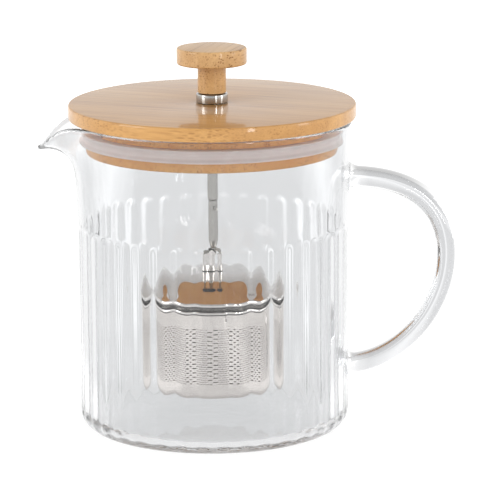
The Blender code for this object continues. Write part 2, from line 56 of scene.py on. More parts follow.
# Camera, at the photograph's angle
CAMERA_AIM = Vector((0.0150, 0.0, 0.0723))
CAMERA_DISTANCE = 1.386
CAMERA_ELEVATION = math.radians(12.57)
CAMERA_ROLL = math.radians(-0.35)
SENSOR_MM = 36.0
LENS_MM = 244.0
CAMERA_CLIP = (0.05, 30.0)

# Stage: each light is its name, place, width and height, and power in watts
LIGHTS = (
    ("key_left", (-1.1, -0.5, 0.5), (0.5, 0.8), 5.5),
    ("fill_right", (1.2, -0.3, 0.4), (0.25, 0.8), 3.0),
    ("strip_front", (0.62, -1.05, 0.35), (0.12, 0.7), 3.2),
)
LIGHT_AIM = Vector((0, 0, 0.07))
LIGHT_BOUNCES = 32
TRANSPARENT_BOUNCES = 12
FLOOR_REACH = 5.0
FLOOR_CORNERS = ((-1, -1), (1, -1), (1, 1), (-1, 1))
FLOOR_Z = -0.0002

# Brightness of the studio by direction: where a change starts and ends, and the light at both
STUDIO_UP = (0.1, 0.95, 0.95, 0.60)
STUDIO_BEHIND_CAMERA = (-1.0, -0.7, 0.80, 1.0)
STUDIO_ASIDE = (0.3, 0.9, 1.0, 1.5)

# Brightness of the floor by place, in the same form
FLOOR_BESIDE = (0.055, 0.085, 0.95, 1.40)
FLOOR_FURTHER_OUT = (0.090, 0.125, 1.0, 0.72)
FLOOR_FAR_BACK = (0.50, 0.85, 1.0, 1.25)

# Glass pot
FLUTED_R = 0.0550
PLAIN_R = 0.0557
RIM_R = 0.0569
RIM_Z = 0.1277
POT_WALL = 0.0021
POT_FLOOR = 0.0032
POT_CORNER_R = 0.0066
POT_INNER_CORNER_R = 0.0055
FLUTE_COUNT = 40
FLUTE_DEPTH = 0.00045
FLUTE_HOLLOW = 0.55  # share of a flute that is hollow, the rest being its rounded ridges
FLUTE_TOP_Z = 0.0864
FLUTE_HALF_WIDTH = FLUTED_R * math.pi / FLUTE_COUNT
ARCH_Z = FLUTE_TOP_Z - FLUTE_HALF_WIDTH
SHOULDER_Z = (0.0820, 0.0980)
FLARE_Z = 0.1190
COLUMNS_PER_FLUTE = 14
POT_FLAT_R = 0.0240
ROUND_BASE_Z = 0.0005  # below this height the base has no flutes
TANGENT_STEP = 0.00002
POT_EDGE_Z = RIM_Z - POT_WALL / 2

# Spout
SPOUT_ROOT_Z = 0.0980
SPOUT_TIP_R = 0.0710
SPOUT_TIP_Z = 0.1146
SPOUT_HALF_ANGLE = math.radians(36.6)
SPOUT_VEE_ANGLE = math.radians(8.0)
SPOUT_BLUNT_ANGLE = math.radians(2.0)
SPOUT_SIDE_ANGLE = 0.2
SPOUT_BOTTOM_PULL = ((PLAIN_R, 0.1100), (0.0600, 0.1165))

# Rows of points on the pot's wall, in stretches: lowest row, highest row and how many.
# They lie close together where the flutes' arches and the spout need them.
BAND_TOP_Z = SPOUT_ROOT_Z - 0.001
SPOUT_ROWS = (SPOUT_ROOT_Z + 0.0004, POT_EDGE_Z, 22)
OUTER_ROWS = (
    (0.0085, ARCH_Z - 0.0004, 8),
    (ARCH_Z, FLUTE_TOP_Z, 11),
    (FLUTE_TOP_Z + 0.0012, BAND_TOP_Z, 6),
    SPOUT_ROWS,
)
INNER_ROWS = (
    (0.0200, 0.0800, 5),
    (0.0840, BAND_TOP_Z, 5),
    SPOUT_ROWS,
)

# Handle
HANDLE_R = 0.0047
HANDLE_TOP_Z = 0.1025
HANDLE_LOW_Z = 0.0238
HANDLE_REACH = 0.0957
HANDLE_MIDDLE_Z = 0.0702
HANDLE_FOOT_R = 0.0063
HANDLE_FOOT_LENGTH = 0.0040
HANDLE_FOOT_DEPTH = 0.0010
HANDLE_FOOT_CURVE = 2.2
HANDLE_SWELL = 0.0002
HANDLE_SWELL_LENGTH = 0.0300
HANDLE_UPPER_PULL = ((0.0834, HANDLE_TOP_Z), (HANDLE_REACH, 0.0898))
HANDLE_LOWER_PULL = ((HANDLE_REACH, 0.0478), (0.0767, HANDLE_LOW_Z))
HANDLE_STEPS = 60
HANDLE_SIDES = 32

# Lid, seal and bush
PLUG_GROOVE_R = 0.0475
SEAL_GROOVE_Z = (0.1182, 0.1242)
PLUG_RECESS_R = 0.0095
PLUG_RECESS_DEPTH = 0.0052
BUSH_BORE_R = 0.0025
BUSH_SLEEVE_R = 0.0040
GRIP_GROOVE_R = 0.0044
GRIP_GROOVE_DROP = (0.0028, 0.0008)
LID_HOLE_R = BUSH_SLEEVE_R + GAP
SEAL_WAIST = 0.0006
SEAL_LIP_SLOPE = 0.0002
SEAL_LIP_SHARE = 0.35  # these three are in thirds of the band's height
SEAL_WAIST_TOP_SHARE = 1.1
SEAL_WAIST_LOW_SHARE = 0.9
BOARD_HOLE_ROUND = 0.0002
BOARD_TOP_ROUND = 0.0009
BOARD_LOW_ROUND = 0.0008
PLUG_LOW_ROUND = 0.0007
PLUG_RECESS_ROUND = 0.0004
PLUG_ROUND = 0.00025
SEAL_LIP_ROUND = 0.0003
SEAL_WAIST_ROUND = 0.0005
SEAL_INNER_ROUND = 0.0002
COLLAR_TOP_ROUND = 0.0005
COLLAR_LOW_ROUND = 0.0002
BUSH_ROUND = 0.00015
BOARD_STEPS = 160
PLUG_STEPS = 144
BUSH_STEPS = 72

# Knob
KNOB_DISC_Z = 0.1496
KNOB_STEM_R = 0.00575
KNOB_HOLE_R = 0.0039
KNOB_HOLE_DEPTH = 0.0106
KNOB_DISC_ROUND = 0.0009
KNOB_STEM_ROUND = 0.0003
KNOB_HOLE_ROUND = 0.0002
KNOB_STEPS = 96

# Infuser cap and basket
DOME_RIM_Z = 0.0571
DOME_APEX_Z = 0.0641
DOME_R = 0.0285
DOME_THICKNESS = 0.0006
DOME_TOP_ROWS = (0.0281, 26)  # reach of the dome's upper face and its number of rows
DOME_UNDER_ROWS = (0.0255, 22)
DOME_HOLE_R = 0.00145
CAP_ROLL_R = 0.0012
CAP_STEPS = 128
BASKET_CORNER_R = 0.0026
BASKET_THICKNESS = 0.0005
BASKET_FLOOR_GAP_R = 0.0236
HOLE_COLUMNS = 132
HOLE_ROWS = 26
HOLE_R = 0.00027
HOLE_CORNERS = tuple(math.radians(60 * i - 30) for i in range(6))
HOLE_BAND_Z = (0.0224, 0.0459)
PLAIN_BAND_ROWS = 13
LUG_COUNT = 3
LUG_Z = 0.0500
LUG_FIRST_ANGLE = math.radians(-77.0)
LUG_DEPTH = 0.0009
LUG_SPREAD = 0.0015

# Bamboo: direction of the fibres, then its pale, middle, dark and fibre colours
FIBRE_TURN = math.radians(-106.0)
BOARD_FIBRE_TURN = math.radians(-21.0)
BOARD_TONES = ((0.67, 0.39, 0.145), (0.59, 0.32, 0.104), (0.43, 0.21, 0.062), (0.24, 0.10, 0.025))
KNOB_TONES = ((0.71, 0.46, 0.225), (0.63, 0.39, 0.175), (0.49, 0.28, 0.115), (0.24, 0.11, 0.03))
# the plug's bamboo colours, made brighter and more orange than the board's as painted light
PLUG_TONES_AND_PAINTED_LIGHT = ((0.97, 0.56, 0.21), (0.93, 0.47, 0.15), (0.82, 0.36, 0.10), (0.45, 0.16, 0.035))
LAMELLA_WANDER = 0.004

# Glass: colour at the surfaces of the wall, then darker colours at the spout and the solid
# handle, which are painted shade
WALL_TINT = (0.818, 0.824, 0.831)
SPOUT_PAINTED_SHADE_TINT = (0.680, 0.686, 0.692)
HANDLE_PAINTED_SHADE_TINT = (0.640, 0.646, 0.656)
SPOUT_PAINTED_LIGHT_X = (-0.0590, -0.0555)
HANDLE_PAINTED_SHADE_X = (0.0575, 0.0635)
# painted light: a glow painted into the spout's glass
SPOUT_PAINTED_GLOW = 0.07

# Silicone
SILICONE_PALE = (0.95, 0.83, 0.79)
SILICONE_DULL = (0.88, 0.76, 0.72)
SILICONE_PAINTED_GLOW = 0.04

# Steel
POLISHED = (0.80, 0.77, 0.74)
SATIN = (0.88, 0.83, 0.79)
ROD_GREY = (0.52, 0.505, 0.475)
COLLAR_GREY = (0.46, 0.45, 0.43)
# the cap's skirt is near-black steel: painted shade for the dark gap between the cap and the rim
# bead
SKIRT_PAINTED_SHADE_GREY = (0.20, 0.19, 0.18)
FASTENER_GREY = (0.60, 0.59, 0.58)
# painted dark reflection: faces that look down are darkened towards this grey, as painted shade
PAINTED_REFLECTION_GREY = (0.05, 0.05, 0.05)
PAINTED_REFLECTION_FACING = (-0.70, -0.22)  # Z of the surface's direction, from full to no darkening
CLOUD_SHADE = 0.90


# ---------------------------------------------------------------- small helpers


def smooth(value, low, high):
    """0 below low, 1 above high, with a soft S between."""
    t = min(1.0, max(0.0, (value - low) / (high - low)))
    return t * t * (3 - 2 * t)


def bezier(start, pull_a, pull_b, end, t):
    """Point of a cubic curve in a plane."""
    weights = ((1 - t) ** 3, 3 * t * (1 - t) ** 2, 3 * t * t * (1 - t), t**3)
    points = (start, pull_a, pull_b, end)
    return tuple(sum(w * p[k] for w, p in zip(weights, points)) for k in (0, 1))


def arc(centre_r, centre_z, radius, start_deg, end_deg, steps):
    """Points (r, z) along a round stretch of an outline, both ends included."""
    points = []
    for i in range(steps + 1):
        angle = math.radians(start_deg + (end_deg - start_deg) * i / steps)
        points.append((centre_r + radius * math.cos(angle), centre_z + radius * math.sin(angle)))
    return points


def spread(low, high, count):
    """Evenly spaced values, both ends included."""
    return [low + (high - low) * i / (count - 1) for i in range(count)]


def softened(outline, radius=0.0, steps=4, closed=True):
    """The outline with its corners rounded, by a point's own third value if it has one."""
    result = []
    count = len(outline)
    for i, point in enumerate(outline):
        here = Vector(point[:2])
        own = point[2] if len(point) > 2 else radius
        if own <= 0 or (not closed and i in (0, count - 1)):
            result.append(tuple(here))
            continue
        back = Vector(outline[i - 1][:2]) - here
        ahead = Vector(outline[(i + 1) % count][:2]) - here
        cut = min(own, CORNER_SHARE * back.length, CORNER_SHARE * ahead.length)
        start = here + back.normalized() * cut
        end = here + ahead.normalized() * cut
        for k in range(steps + 1):
            t = k / steps
            result.append(tuple(start * (1 - t) ** 2 + here * 2 * t * (1 - t) + end * t * t))
    return result


def linked(name, data):
    """A new object in the scene for a mesh, light or camera."""
    obj = bpy.data.objects.new(name, data)
    bpy.context.scene.collection.objects.link(obj)
    return obj


def new_mesh(name, points, faces):
    mesh = bpy.data.meshes.new(name)
    mesh.from_pydata(points, [], faces)
    mesh.update()
    return mesh


def place_mesh(name, mesh, material, body, replaced, sharp_deg=50):
    """Makes a mesh a finished piece that rides on its body and stands for its CAD nodes."""
    obj = linked(name, mesh)
    mesh.materials.clear()
    mesh.materials.append(material)
    mesh.shade_smooth()
    mesh.set_sharp_from_angle(angle=math.radians(sharp_deg))
    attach(obj, body)
    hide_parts(*replaced)


def turned_mesh(outline, steps, closed=False, shape=None):
    """Points and faces of an outline (r, z) turned about Z, given down its outer side."""
    points, rings, faces = [], [], []
    for r, z in outline:
        if r < ON_AXIS:
            rings.append([len(points)] * steps)
            points.append(Vector((0, 0, z)))
            continue
        rings.append(list(range(len(points), len(points) + steps)))
        for j in range(steps):
            angle = TAU * j / steps
            if shape:
                points.append(shape(r, angle, z))
            else:
                points.append(Vector((r * math.cos(angle), r * math.sin(angle), z)))
    following = rings[1:] + (rings[:1] if closed else [])
    for upper, lower in zip(rings, following):
        for j in range(steps):
            k = (j + 1) % steps
            corners = [upper[j], lower[j], lower[k], upper[k]]
            face = [c for i, c in enumerate(corners) if c != corners[i - 1]]
            if len(face) > 2:
                faces.append(face)
    return points, faces


def turned(name, outline, steps, material, body, replaced, closed=True):
    mesh = new_mesh(name, *turned_mesh(outline, steps, closed))
    place_mesh(name, mesh, material, body, replaced)


@functools.lru_cache(maxsize=None)
def height_range(node):
    """Lowest and highest Z of a CAD node."""
    low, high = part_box(node)
    return low.z, high.z


@functools.lru_cache(maxsize=None)
def radius_of(node):
    """Outside radius of a round CAD node on the pot's axis."""
    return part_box(node)[1].y


# ---------------------------------------------------------------- material helpers


class Nodes:
    """The nodes of a material or world, with short calls to add and join them."""

    def __init__(self, owner, shader):
        owner.use_nodes = True
        self.tree = owner.node_tree
        self.shader = self.tree.nodes[shader]
        self.coords = self.add("ShaderNodeTexCoord").outputs

    def add(self, kind, **settings):
        node = self.tree.nodes.new(kind)
        for key, value in settings.items():
            setattr(node, key, value)
        return node

    def join(self, source, target):
        self.tree.links.new(source, target)

    def feed(self, socket, value):
        if isinstance(value, bpy.types.NodeSocket):
            self.join(value, socket)
        else:
            socket.default_value = value

    def set(self, **values):
        """Sets the shader's sockets; underscores in a key stand for spaces."""
        for key, value in values.items():
            self.feed(self.shader.inputs[key.replace("_", " ")], value)

    def parts(self, vector):
        """The X, Y and Z of a vector."""
        split = self.add("ShaderNodeSeparateXYZ")
        self.join(vector, split.inputs[0])
        return split.outputs

    def mapped(self, scale=(1, 1, 1), turn=(0, 0, 0), move=(0, 0, 0), source=None):
        """The object's own coordinates, or source, scaled, turned and moved."""
        node = self.add("ShaderNodeMapping")
        self.join(source or self.coords["Object"], node.inputs["Vector"])
        node.inputs["Scale"].default_value = scale
        node.inputs["Rotation"].default_value = turn
        node.inputs["Location"].default_value = move
        return node.outputs["Vector"]

    def noise(self, vector, scale, detail):
        node = self.add("ShaderNodeTexNoise")
        self.join(vector, node.inputs["Vector"])
        for key, value in (("Scale", scale), ("Detail", detail), ("Roughness", NOISE_ROUGHNESS)):
            node.inputs[key].default_value = value
        return node.outputs["Fac"]

    def ramp(self, value, *stops):
        """Grey by value; each stop is (place, grey)."""
        node = self.add("ShaderNodeValToRGB")
        self.join(value, node.inputs["Fac"])
        for element, (place, grey) in zip(node.color_ramp.elements, stops):
            element.position = place
            element.color = (grey, grey, grey, 1)
        return node.outputs["Color"]

    def mix(self, factor, a, b):
        """Colour a where factor is 0 and b where it is 1."""
        node = self.add("ShaderNodeMix", data_type="RGBA")
        self.feed(node.inputs["Factor"], factor)
        for socket, value in ((node.inputs[6], a), (node.inputs[7], b)):
            self.feed(socket, value if isinstance(value, bpy.types.NodeSocket) else (*value, 1))
        return node.outputs[2]

    def math(self, operation, a, b=0.0):
        node = self.add("ShaderNodeMath", operation=operation)
        for socket, value in zip(node.inputs, (a, b)):
            self.feed(socket, value)
        return node.outputs[0]

    def fit(self, value, from_low, from_high, to_low, to_high, blend="LINEAR"):
        """The value moved from one range to another and held inside it."""
        node = self.add("ShaderNodeMapRange", interpolation_type=blend)
        self.join(value, node.inputs["Value"])
        sockets = ("From Min", "From Max", "To Min", "To Max")
        for key, number in zip(sockets, (from_low, from_high, to_low, to_high)):
            node.inputs[key].default_value = number
        return node.outputs["Result"]

    def bump(self, height, strength, distance):
        node = self.add("ShaderNodeBump")
        self.join(height, node.inputs["Height"])
        node.inputs["Strength"].default_value = strength
        node.inputs["Distance"].default_value = distance
        return node.outputs["Normal"]


def new_material(name):
    """A material and its nodes."""
    material = bpy.data.materials.new(name)
    return material, Nodes(material, "Principled BSDF")


# ---------------------------------------------------------------- materials


def glass_material():
    """Clear mould-blown borosilicate with a faint ripple; painted shade makes it greyer at the
    spout and the handle, and the spout has a painted glow.
    """
    material, n = new_material("clear_glass")
    ripple = n.noise(n.mapped(scale=(1, 1, 0.35)), 90.0, 2.0)
    along = n.parts(n.coords["Object"])["X"]
    # masks of the painted shade at the spout and the handle; the spout's also carries its painted
    # glow
    spout = n.fit(along, *SPOUT_PAINTED_LIGHT_X, 1.0, 0.0)
    handle = n.fit(along, *HANDLE_PAINTED_SHADE_X, 0.0, 1.0)
    n.set(
        Base_Color=n.mix(handle, n.mix(spout, WALL_TINT, SPOUT_PAINTED_SHADE_TINT), HANDLE_PAINTED_SHADE_TINT),
        Emission_Color=(1, 1, 1, 1),
        # painted light: the spout glows
        Emission_Strength=n.math("MULTIPLY", spout, SPOUT_PAINTED_GLOW),
        Roughness=0.0,
        IOR=1.47,
        Transmission_Weight=1.0,
        Normal=n.bump(ripple, 0.06, 0.001),
    )
    return material


def bamboo_material(name, tones, strip_width, fibre_turn, seed, coat, dot_strength, glow=0.0):
    """Laminated bamboo: long fibres that show as dots where they meet the surface end on.

    tones are the pale, middle and dark colours of the lamellas, then that of the fibres.
    glow stands for the light that the glass round the plug throws onto it.
    """
    pale, middle, dark, fibre = tones
    material, n = new_material(name)
    along = n.mapped(turn=(0, 0, -fibre_turn), move=(seed, 0.3 * seed, 0))

    def grain(scale, detail):
        """Noise with its own scale along, across and up the fibres."""
        return n.noise(n.mapped(scale=scale, source=along), 1.0, detail)

    # lamellas: each strip across the fibres gets its own tone
    wander = n.math("MULTIPLY", grain((6, 6, 6), 1.0), LAMELLA_WANDER)
    across = n.math("ADD", n.parts(along)["Y"], wander)
    strip = n.math("FLOOR", n.math("DIVIDE", across, strip_width))
    tone = n.add("ShaderNodeTexWhiteNoise", noise_dimensions="1D")
    n.join(strip, tone.inputs["W"])
    # fibre bundles, long along X, round across it
    cells = n.add("ShaderNodeTexVoronoi", feature="F1")
    n.join(n.mapped(scale=(22, 1050, 1050), source=along), cells.inputs["Vector"])
    cells.inputs["Scale"].default_value = 1.0
    cells.inputs["Randomness"].default_value = 0.85
    dots = n.ramp(cells.outputs["Distance"], (0.20, 1.0), (0.42, 0.0))
    density = grain((25, 190, 130), 2.0)
    dots = n.math("MULTIPLY", dots, n.fit(density, 0.38, 0.62, 0.1, dot_strength))
    # darker drifts, streaks and fine fibres over the lamellas' tones
    fine = grain((30, 2200, 2200), 3.0)
    streak = grain((11, 420, 420), 2.0)
    broad = grain((7, 75, 75), 3.0)
    base = n.mix(tone.outputs["Value"], middle, pale)
    base = n.mix(n.fit(broad, 0.35, 0.65, 0.0, 0.65), base, dark)
    base = n.mix(n.fit(streak, 0.52, 0.68, 0.0, 0.45), base, dark)
    base = n.mix(n.fit(fine, 0.35, 0.7, 0.0, 0.25), base, fibre)
    n.set(
        Base_Color=n.mix(dots, base, fibre),
        Roughness=n.fit(fine, 0.2, 0.8, 0.30, 0.42),
        Normal=n.bump(fine, 0.10, 0.0002),
        Specular_IOR_Level=0.2,
        Emission_Color=base,
        Emission_Strength=glow,
        Coat_Weight=coat,
        Coat_Roughness=0.07,
    )
    return material


def steel_material(name, colour, roughness, brushed=0.0, underside=1.0):
    """Stainless steel with turned marks, deeper where it is brushed.

    underside is the strength of a painted dark reflection on faces that look down. This painted
    shade stands for the dark gap that they mirror and that the plain studio doesn't give.
    """
    material, n = new_material(name)
    marks = n.noise(n.mapped(scale=(60, 60, 4200)), 1.0, 3.0)
    cloud = n.noise(n.mapped(), 55.0, 3.0)
    shade = tuple(channel * CLOUD_SHADE for channel in colour)
    tint = n.mix(n.fit(cloud, 0.3, 0.7, 0.0, 1.0), colour, shade)
    facing = n.parts(n.add("ShaderNodeNewGeometry").outputs["Normal"])["Z"]
    # painted shade: faces that look down are darkened as if they mirrored a dark gap
    painted_reflection_mask = n.fit(facing, *PAINTED_REFLECTION_FACING, underside, 0.0)
    n.set(
        Base_Color=n.mix(painted_reflection_mask, tint, PAINTED_REFLECTION_GREY),
        Metallic=1.0,
        Roughness=n.fit(marks, 0.25, 0.75, roughness * 0.8, roughness * 1.3),
        Normal=n.bump(marks, 0.04 + brushed, 0.00006),
    )
    return material


def silicone_material(name):
    """Milky silicone: soft, with a dusty sheen and a weak painted glow, which is painted light.
    """
    material, n = new_material(name)
    cloud = n.noise(n.mapped(), 160.0, 3.0)
    grain = n.noise(n.mapped(), 1400.0, 2.0)
    colour = n.mix(n.fit(cloud, 0.3, 0.7, 0.0, 1.0), SILICONE_PALE, SILICONE_DULL)
    n.set(
        Base_Color=colour,
        Roughness=n.fit(grain, 0.3, 0.7, 0.38, 0.52),
        Subsurface_Weight=0.25,
        Subsurface_Radius=(0.004, 0.003, 0.003),
        Subsurface_Scale=0.5,
        # painted light: a weak glow in the silicone's own colour
        Emission_Color=colour,
        Emission_Strength=SILICONE_PAINTED_GLOW,
        Sheen_Weight=0.15,
        Normal=n.bump(grain, 0.05, 0.0001),
    )
    return material


# ---------------------------------------------------------------- glass pot


def wall_r(z):
    """Outside radius of the wall at a height, without flutes or spout."""
    if z < POT_CORNER_R:
        drop = POT_CORNER_R - z
        return FLUTED_R - POT_CORNER_R + math.sqrt(max(0.0, POT_CORNER_R**2 - drop**2))
    radius = FLUTED_R + (PLAIN_R - FLUTED_R) * smooth(z, *SHOULDER_Z)
    return radius + (RIM_R - PLAIN_R) * max(0.0, (z - FLARE_Z) / (RIM_Z - FLARE_Z)) ** 2


def wall_point(angle, z):
    """Point on the outside of the wall, with the spout pulled out of the rim."""
    radius, height = wall_r(z), z
    off = abs(math.remainder(angle - math.pi, TAU))
    if z > SPOUT_ROOT_Z and off < SPOUT_HALF_ANGLE:
        t = (z - SPOUT_ROOT_Z) / (RIM_Z - SPOUT_ROOT_Z)
        tip = (SPOUT_TIP_R, SPOUT_TIP_Z)
        trough_r, trough_z = bezier((PLAIN_R, SPOUT_ROOT_Z), *SPOUT_BOTTOM_PULL, tip, t)
        edge_r = RIM_R / math.cos(SPOUT_HALF_ANGLE - off)
        out = (edge_r - RIM_R) / (RIM_R / math.cos(SPOUT_HALF_ANGLE) - RIM_R)
        blunt = math.hypot(off, SPOUT_BLUNT_ANGLE) - SPOUT_BLUNT_ANGLE
        side = smooth(SPOUT_HALF_ANGLE - off, 0.0, SPOUT_SIDE_ANGLE)
        down = math.exp(-blunt / SPOUT_VEE_ANGLE) * side
        radius += (trough_r - radius) * out
        height += (trough_z - height) * down
    return Vector((radius * math.cos(angle), radius * math.sin(angle), height))


def flute_depth(angle, z):
    """Depth of the hollow flutes, round-topped and running out at the base."""
    pitch = TAU / FLUTE_COUNT
    across = math.remainder(angle - pitch / 2, pitch) / (pitch / 2)
    up = max(0.0, (z - ARCH_Z) / FLUTE_HALF_WIDTH)
    out = math.hypot(across, up)
    if out < FLUTE_HOLLOW:
        share = 1 - out**2 / FLUTE_HOLLOW
    else:
        share = max(0.0, 1 - out) ** 2 / (1 - FLUTE_HOLLOW)
    return FLUTE_DEPTH * share * smooth(z, 0.0, POT_CORNER_R)


def pot_point(radius, angle, z):
    """Where a point of the plain pot goes on the fluted and spouted one."""
    if z > SPOUT_ROOT_Z:
        row = min(z, POT_EDGE_Z)
        here = wall_point(angle, row)
        up = (here - wall_point(angle, row - TANGENT_STEP)).normalized()
        around = wall_point(angle + TANGENT_STEP, row) - wall_point(angle - TANGENT_STEP, row)
        outwards = around.cross(up).normalized()
        return here - outwards * (wall_r(row) - radius) + up * (z - row)
    if z > ROUND_BASE_Z and radius > wall_r(z) - POT_WALL / 2:
        radius -= flute_depth(angle, z)
    return Vector((radius * math.cos(angle), radius * math.sin(angle), z))


def pot_outline():
    """Section of the plain pot: up the inside, over the rim and down the outside."""
    inner = [z for stretch in INNER_ROWS for z in spread(*stretch)]
    outer = [z for stretch in OUTER_ROWS for z in spread(*stretch)]
    corner = POT_INNER_CORNER_R
    outline = [(0.0, POT_FLOOR), (POT_FLAT_R, POT_FLOOR)]
    outline += arc(FLUTED_R - POT_WALL - corner, POT_FLOOR + corner, corner, -90, 0, 9)
    outline += [(wall_r(z) - POT_WALL, z) for z in inner]
    outline += arc(wall_r(POT_EDGE_Z) - POT_WALL / 2, POT_EDGE_Z, POT_WALL / 2, 180, 0, 8)[1:-1]
    outline += [(wall_r(z), z) for z in reversed(outer)]
    outline += arc(FLUTED_R - POT_CORNER_R, POT_CORNER_R, POT_CORNER_R, 0, -90, 12)
    return outline + [(POT_FLAT_R, 0.0), (0.0, 0.0)]


def handle_mesh():
    """Bent rod with flared feet that run a little way into the pot's wall."""
    top = (PLAIN_R - HANDLE_FOOT_DEPTH, HANDLE_TOP_Z)
    low = (FLUTED_R - HANDLE_FOOT_DEPTH, HANDLE_LOW_Z)
    crest = (HANDLE_REACH, HANDLE_MIDDLE_Z)
    sides = HANDLE_SIDES
    # places along a curve, closer together near the wall
    places = [(i / HANDLE_STEPS) ** 1.5 for i in range(HANDLE_STEPS + 1)]
    route = [bezier(top, *HANDLE_UPPER_PULL, crest, t) for t in places]
    route += [bezier(crest, *HANDLE_LOWER_PULL, low, 1 - t) for t in reversed(places[:-1])]
    points = []
    for i, (x, z) in enumerate(route):
        before, after = route[max(0, i - 1)], route[min(len(route) - 1, i + 1)]
        way = Vector((after[0] - before[0], 0, after[1] - before[1])).normalized()
        out = Vector((way.z, 0, -way.x))
        from_wall = x - (PLAIN_R if z > HANDLE_MIDDLE_Z else FLUTED_R)
        flare = max(0.0, 1 - max(0.0, from_wall) / HANDLE_FOOT_LENGTH) ** HANDLE_FOOT_CURVE
        swell = HANDLE_SWELL * max(0.0, 1 - from_wall / HANDLE_SWELL_LENGTH)
        radius = HANDLE_R + swell + (HANDLE_FOOT_R - HANDLE_R) * flare
        for j in range(sides):
            turn = TAU * j / sides
            side = out * math.cos(turn) + Vector((0, math.sin(turn), 0))
            points.append(Vector((x, 0, z)) + radius * side)
    faces = [list(range(sides))]
    for i in range(len(route) - 1):
        for j in range(sides):
            k = (j + 1) % sides
            faces.append([i * sides + j, (i + 1) * sides + j, (i + 1) * sides + k, i * sides + k])
    last = (len(route) - 1) * sides
    faces.append([last + j for j in reversed(range(sides))])
    return points, faces


def make_glass_pot():
    """Pot and handle as one piece of glass, since the real handle is fused on."""
    columns = FLUTE_COUNT * COLUMNS_PER_FLUTE
    pot = turned_mesh(pot_outline(), columns, shape=pot_point)
    body = linked("pot_blank", new_mesh("pot_blank", *pot))
    handle = linked("handle_blank", new_mesh("handle_blank", *handle_mesh()))
    union = body.modifiers.new("fuse", "BOOLEAN")
    union.operation = "UNION"
    union.solver = "MANIFOLD"
    union.object = handle
    graph = bpy.context.evaluated_depsgraph_get()
    mesh = bpy.data.meshes.new_from_object(body.evaluated_get(graph))
    for blank in (body, handle):
        bpy.data.objects.remove(blank, do_unlink=True)
    mesh.name = "glass_pot"
    nodes = ("glass_body", "glass_handle")
    place_mesh("glass_pot", mesh, glass_material(), "pot", nodes, sharp_deg=60)


# ---------------------------------------------------------------- lid


def make_board(bamboo):
    low, high = height_range("lid_disc")
    radius = radius_of("lid_disc")
    outline = [
        (LID_HOLE_R, high, BOARD_HOLE_ROUND),
        (radius, high, BOARD_TOP_ROUND),
        (radius, low, BOARD_LOW_ROUND),
        (LID_HOLE_R, low, BOARD_HOLE_ROUND),
    ]
    turned("lid_board", softened(outline), BOARD_STEPS, bamboo, "lid", ("lid_disc",))


def make_plug(bamboo):
    low, high = height_range("lid_plug")
    radius, recess_z = radius_of("lid_plug"), low + PLUG_RECESS_DEPTH
    groove_low, groove_high = SEAL_GROOVE_Z
    outline = [
        (LID_HOLE_R, high),
        (radius, high),
        (radius, groove_high),
        (PLUG_GROOVE_R, groove_high),
        (PLUG_GROOVE_R, groove_low),
        (radius, groove_low),
        (radius, low, PLUG_LOW_ROUND),
        (PLUG_RECESS_R, low, PLUG_RECESS_ROUND),
        (PLUG_RECESS_R, recess_z),
        (LID_HOLE_R, recess_z),
    ]
    outline = softened(outline, PLUG_ROUND, steps=3)
    turned("plug", outline, PLUG_STEPS, bamboo, "lid", ("lid_plug",))


def make_seal(silicone):
    """Band with a lip at its top and its bottom and a waist between them."""
    low, high = height_range("silicone_seal")
    lip_r = radius_of("silicone_seal")
    inner_r = PLUG_GROOVE_R + GAP
    waist_r = radius_of("lid_plug") + GAP + SEAL_WAIST
    third = (high - low) / 3
    outline = [
        (inner_r, high),
        (lip_r - SEAL_LIP_SLOPE, high, SEAL_LIP_ROUND),
        (lip_r, high - SEAL_LIP_SHARE * third, SEAL_LIP_ROUND),
        (waist_r, high - SEAL_WAIST_TOP_SHARE * third, SEAL_WAIST_ROUND),
        (waist_r, low + SEAL_WAIST_LOW_SHARE * third, SEAL_WAIST_ROUND),
        (lip_r, low + SEAL_LIP_SHARE * third, SEAL_LIP_ROUND),
        (lip_r - SEAL_LIP_SLOPE, low, SEAL_LIP_ROUND),
        (inner_r, low),
    ]
    outline = softened(outline, SEAL_INNER_ROUND)
    turned("seal_band", outline, PLUG_STEPS, silicone, "lid", ("silicone_seal",))


def make_guide_bush(steel):
    low, high = height_range("guide_bush")
    collar_r = radius_of("guide_bush")
    collar_z = height_range("lid_disc")[1] + GAP
    outline = [
        (BUSH_BORE_R, high),
        (collar_r, high, COLLAR_TOP_ROUND),
        (collar_r, collar_z, COLLAR_LOW_ROUND),
        (BUSH_SLEEVE_R, collar_z),
        (BUSH_SLEEVE_R, low),
        (BUSH_BORE_R, low),
        (BUSH_BORE_R, high - GRIP_GROOVE_DROP[0]),
        (GRIP_GROOVE_R, high - GRIP_GROOVE_DROP[0]),
        (GRIP_GROOVE_R, high - GRIP_GROOVE_DROP[1]),
        (BUSH_BORE_R, high - GRIP_GROOVE_DROP[1]),
    ]
    outline = softened(outline, BUSH_ROUND, steps=3)
    turned("bush", outline, BUSH_STEPS, steel, "lid", ("guide_bush",))


def make_knob(bamboo):
    low, high = height_range("knob")
    radius = radius_of("knob")
    outline = [
        (0.0, high),
        (radius, high, KNOB_DISC_ROUND),
        (radius, KNOB_DISC_Z, KNOB_DISC_ROUND),
        (KNOB_STEM_R, KNOB_DISC_Z, KNOB_DISC_ROUND),
        (KNOB_STEM_R, low),
        (KNOB_HOLE_R, low, KNOB_HOLE_ROUND),
        (KNOB_HOLE_R, low + KNOB_HOLE_DEPTH),
        (0.0, low + KNOB_HOLE_DEPTH),
    ]
    outline = softened(outline, KNOB_STEM_ROUND, steps=5, closed=False)
    turned("turned_knob", outline, KNOB_STEPS, bamboo, "plunger", ("knob",), closed=False)


# ---------------------------------------------------------------- infuser


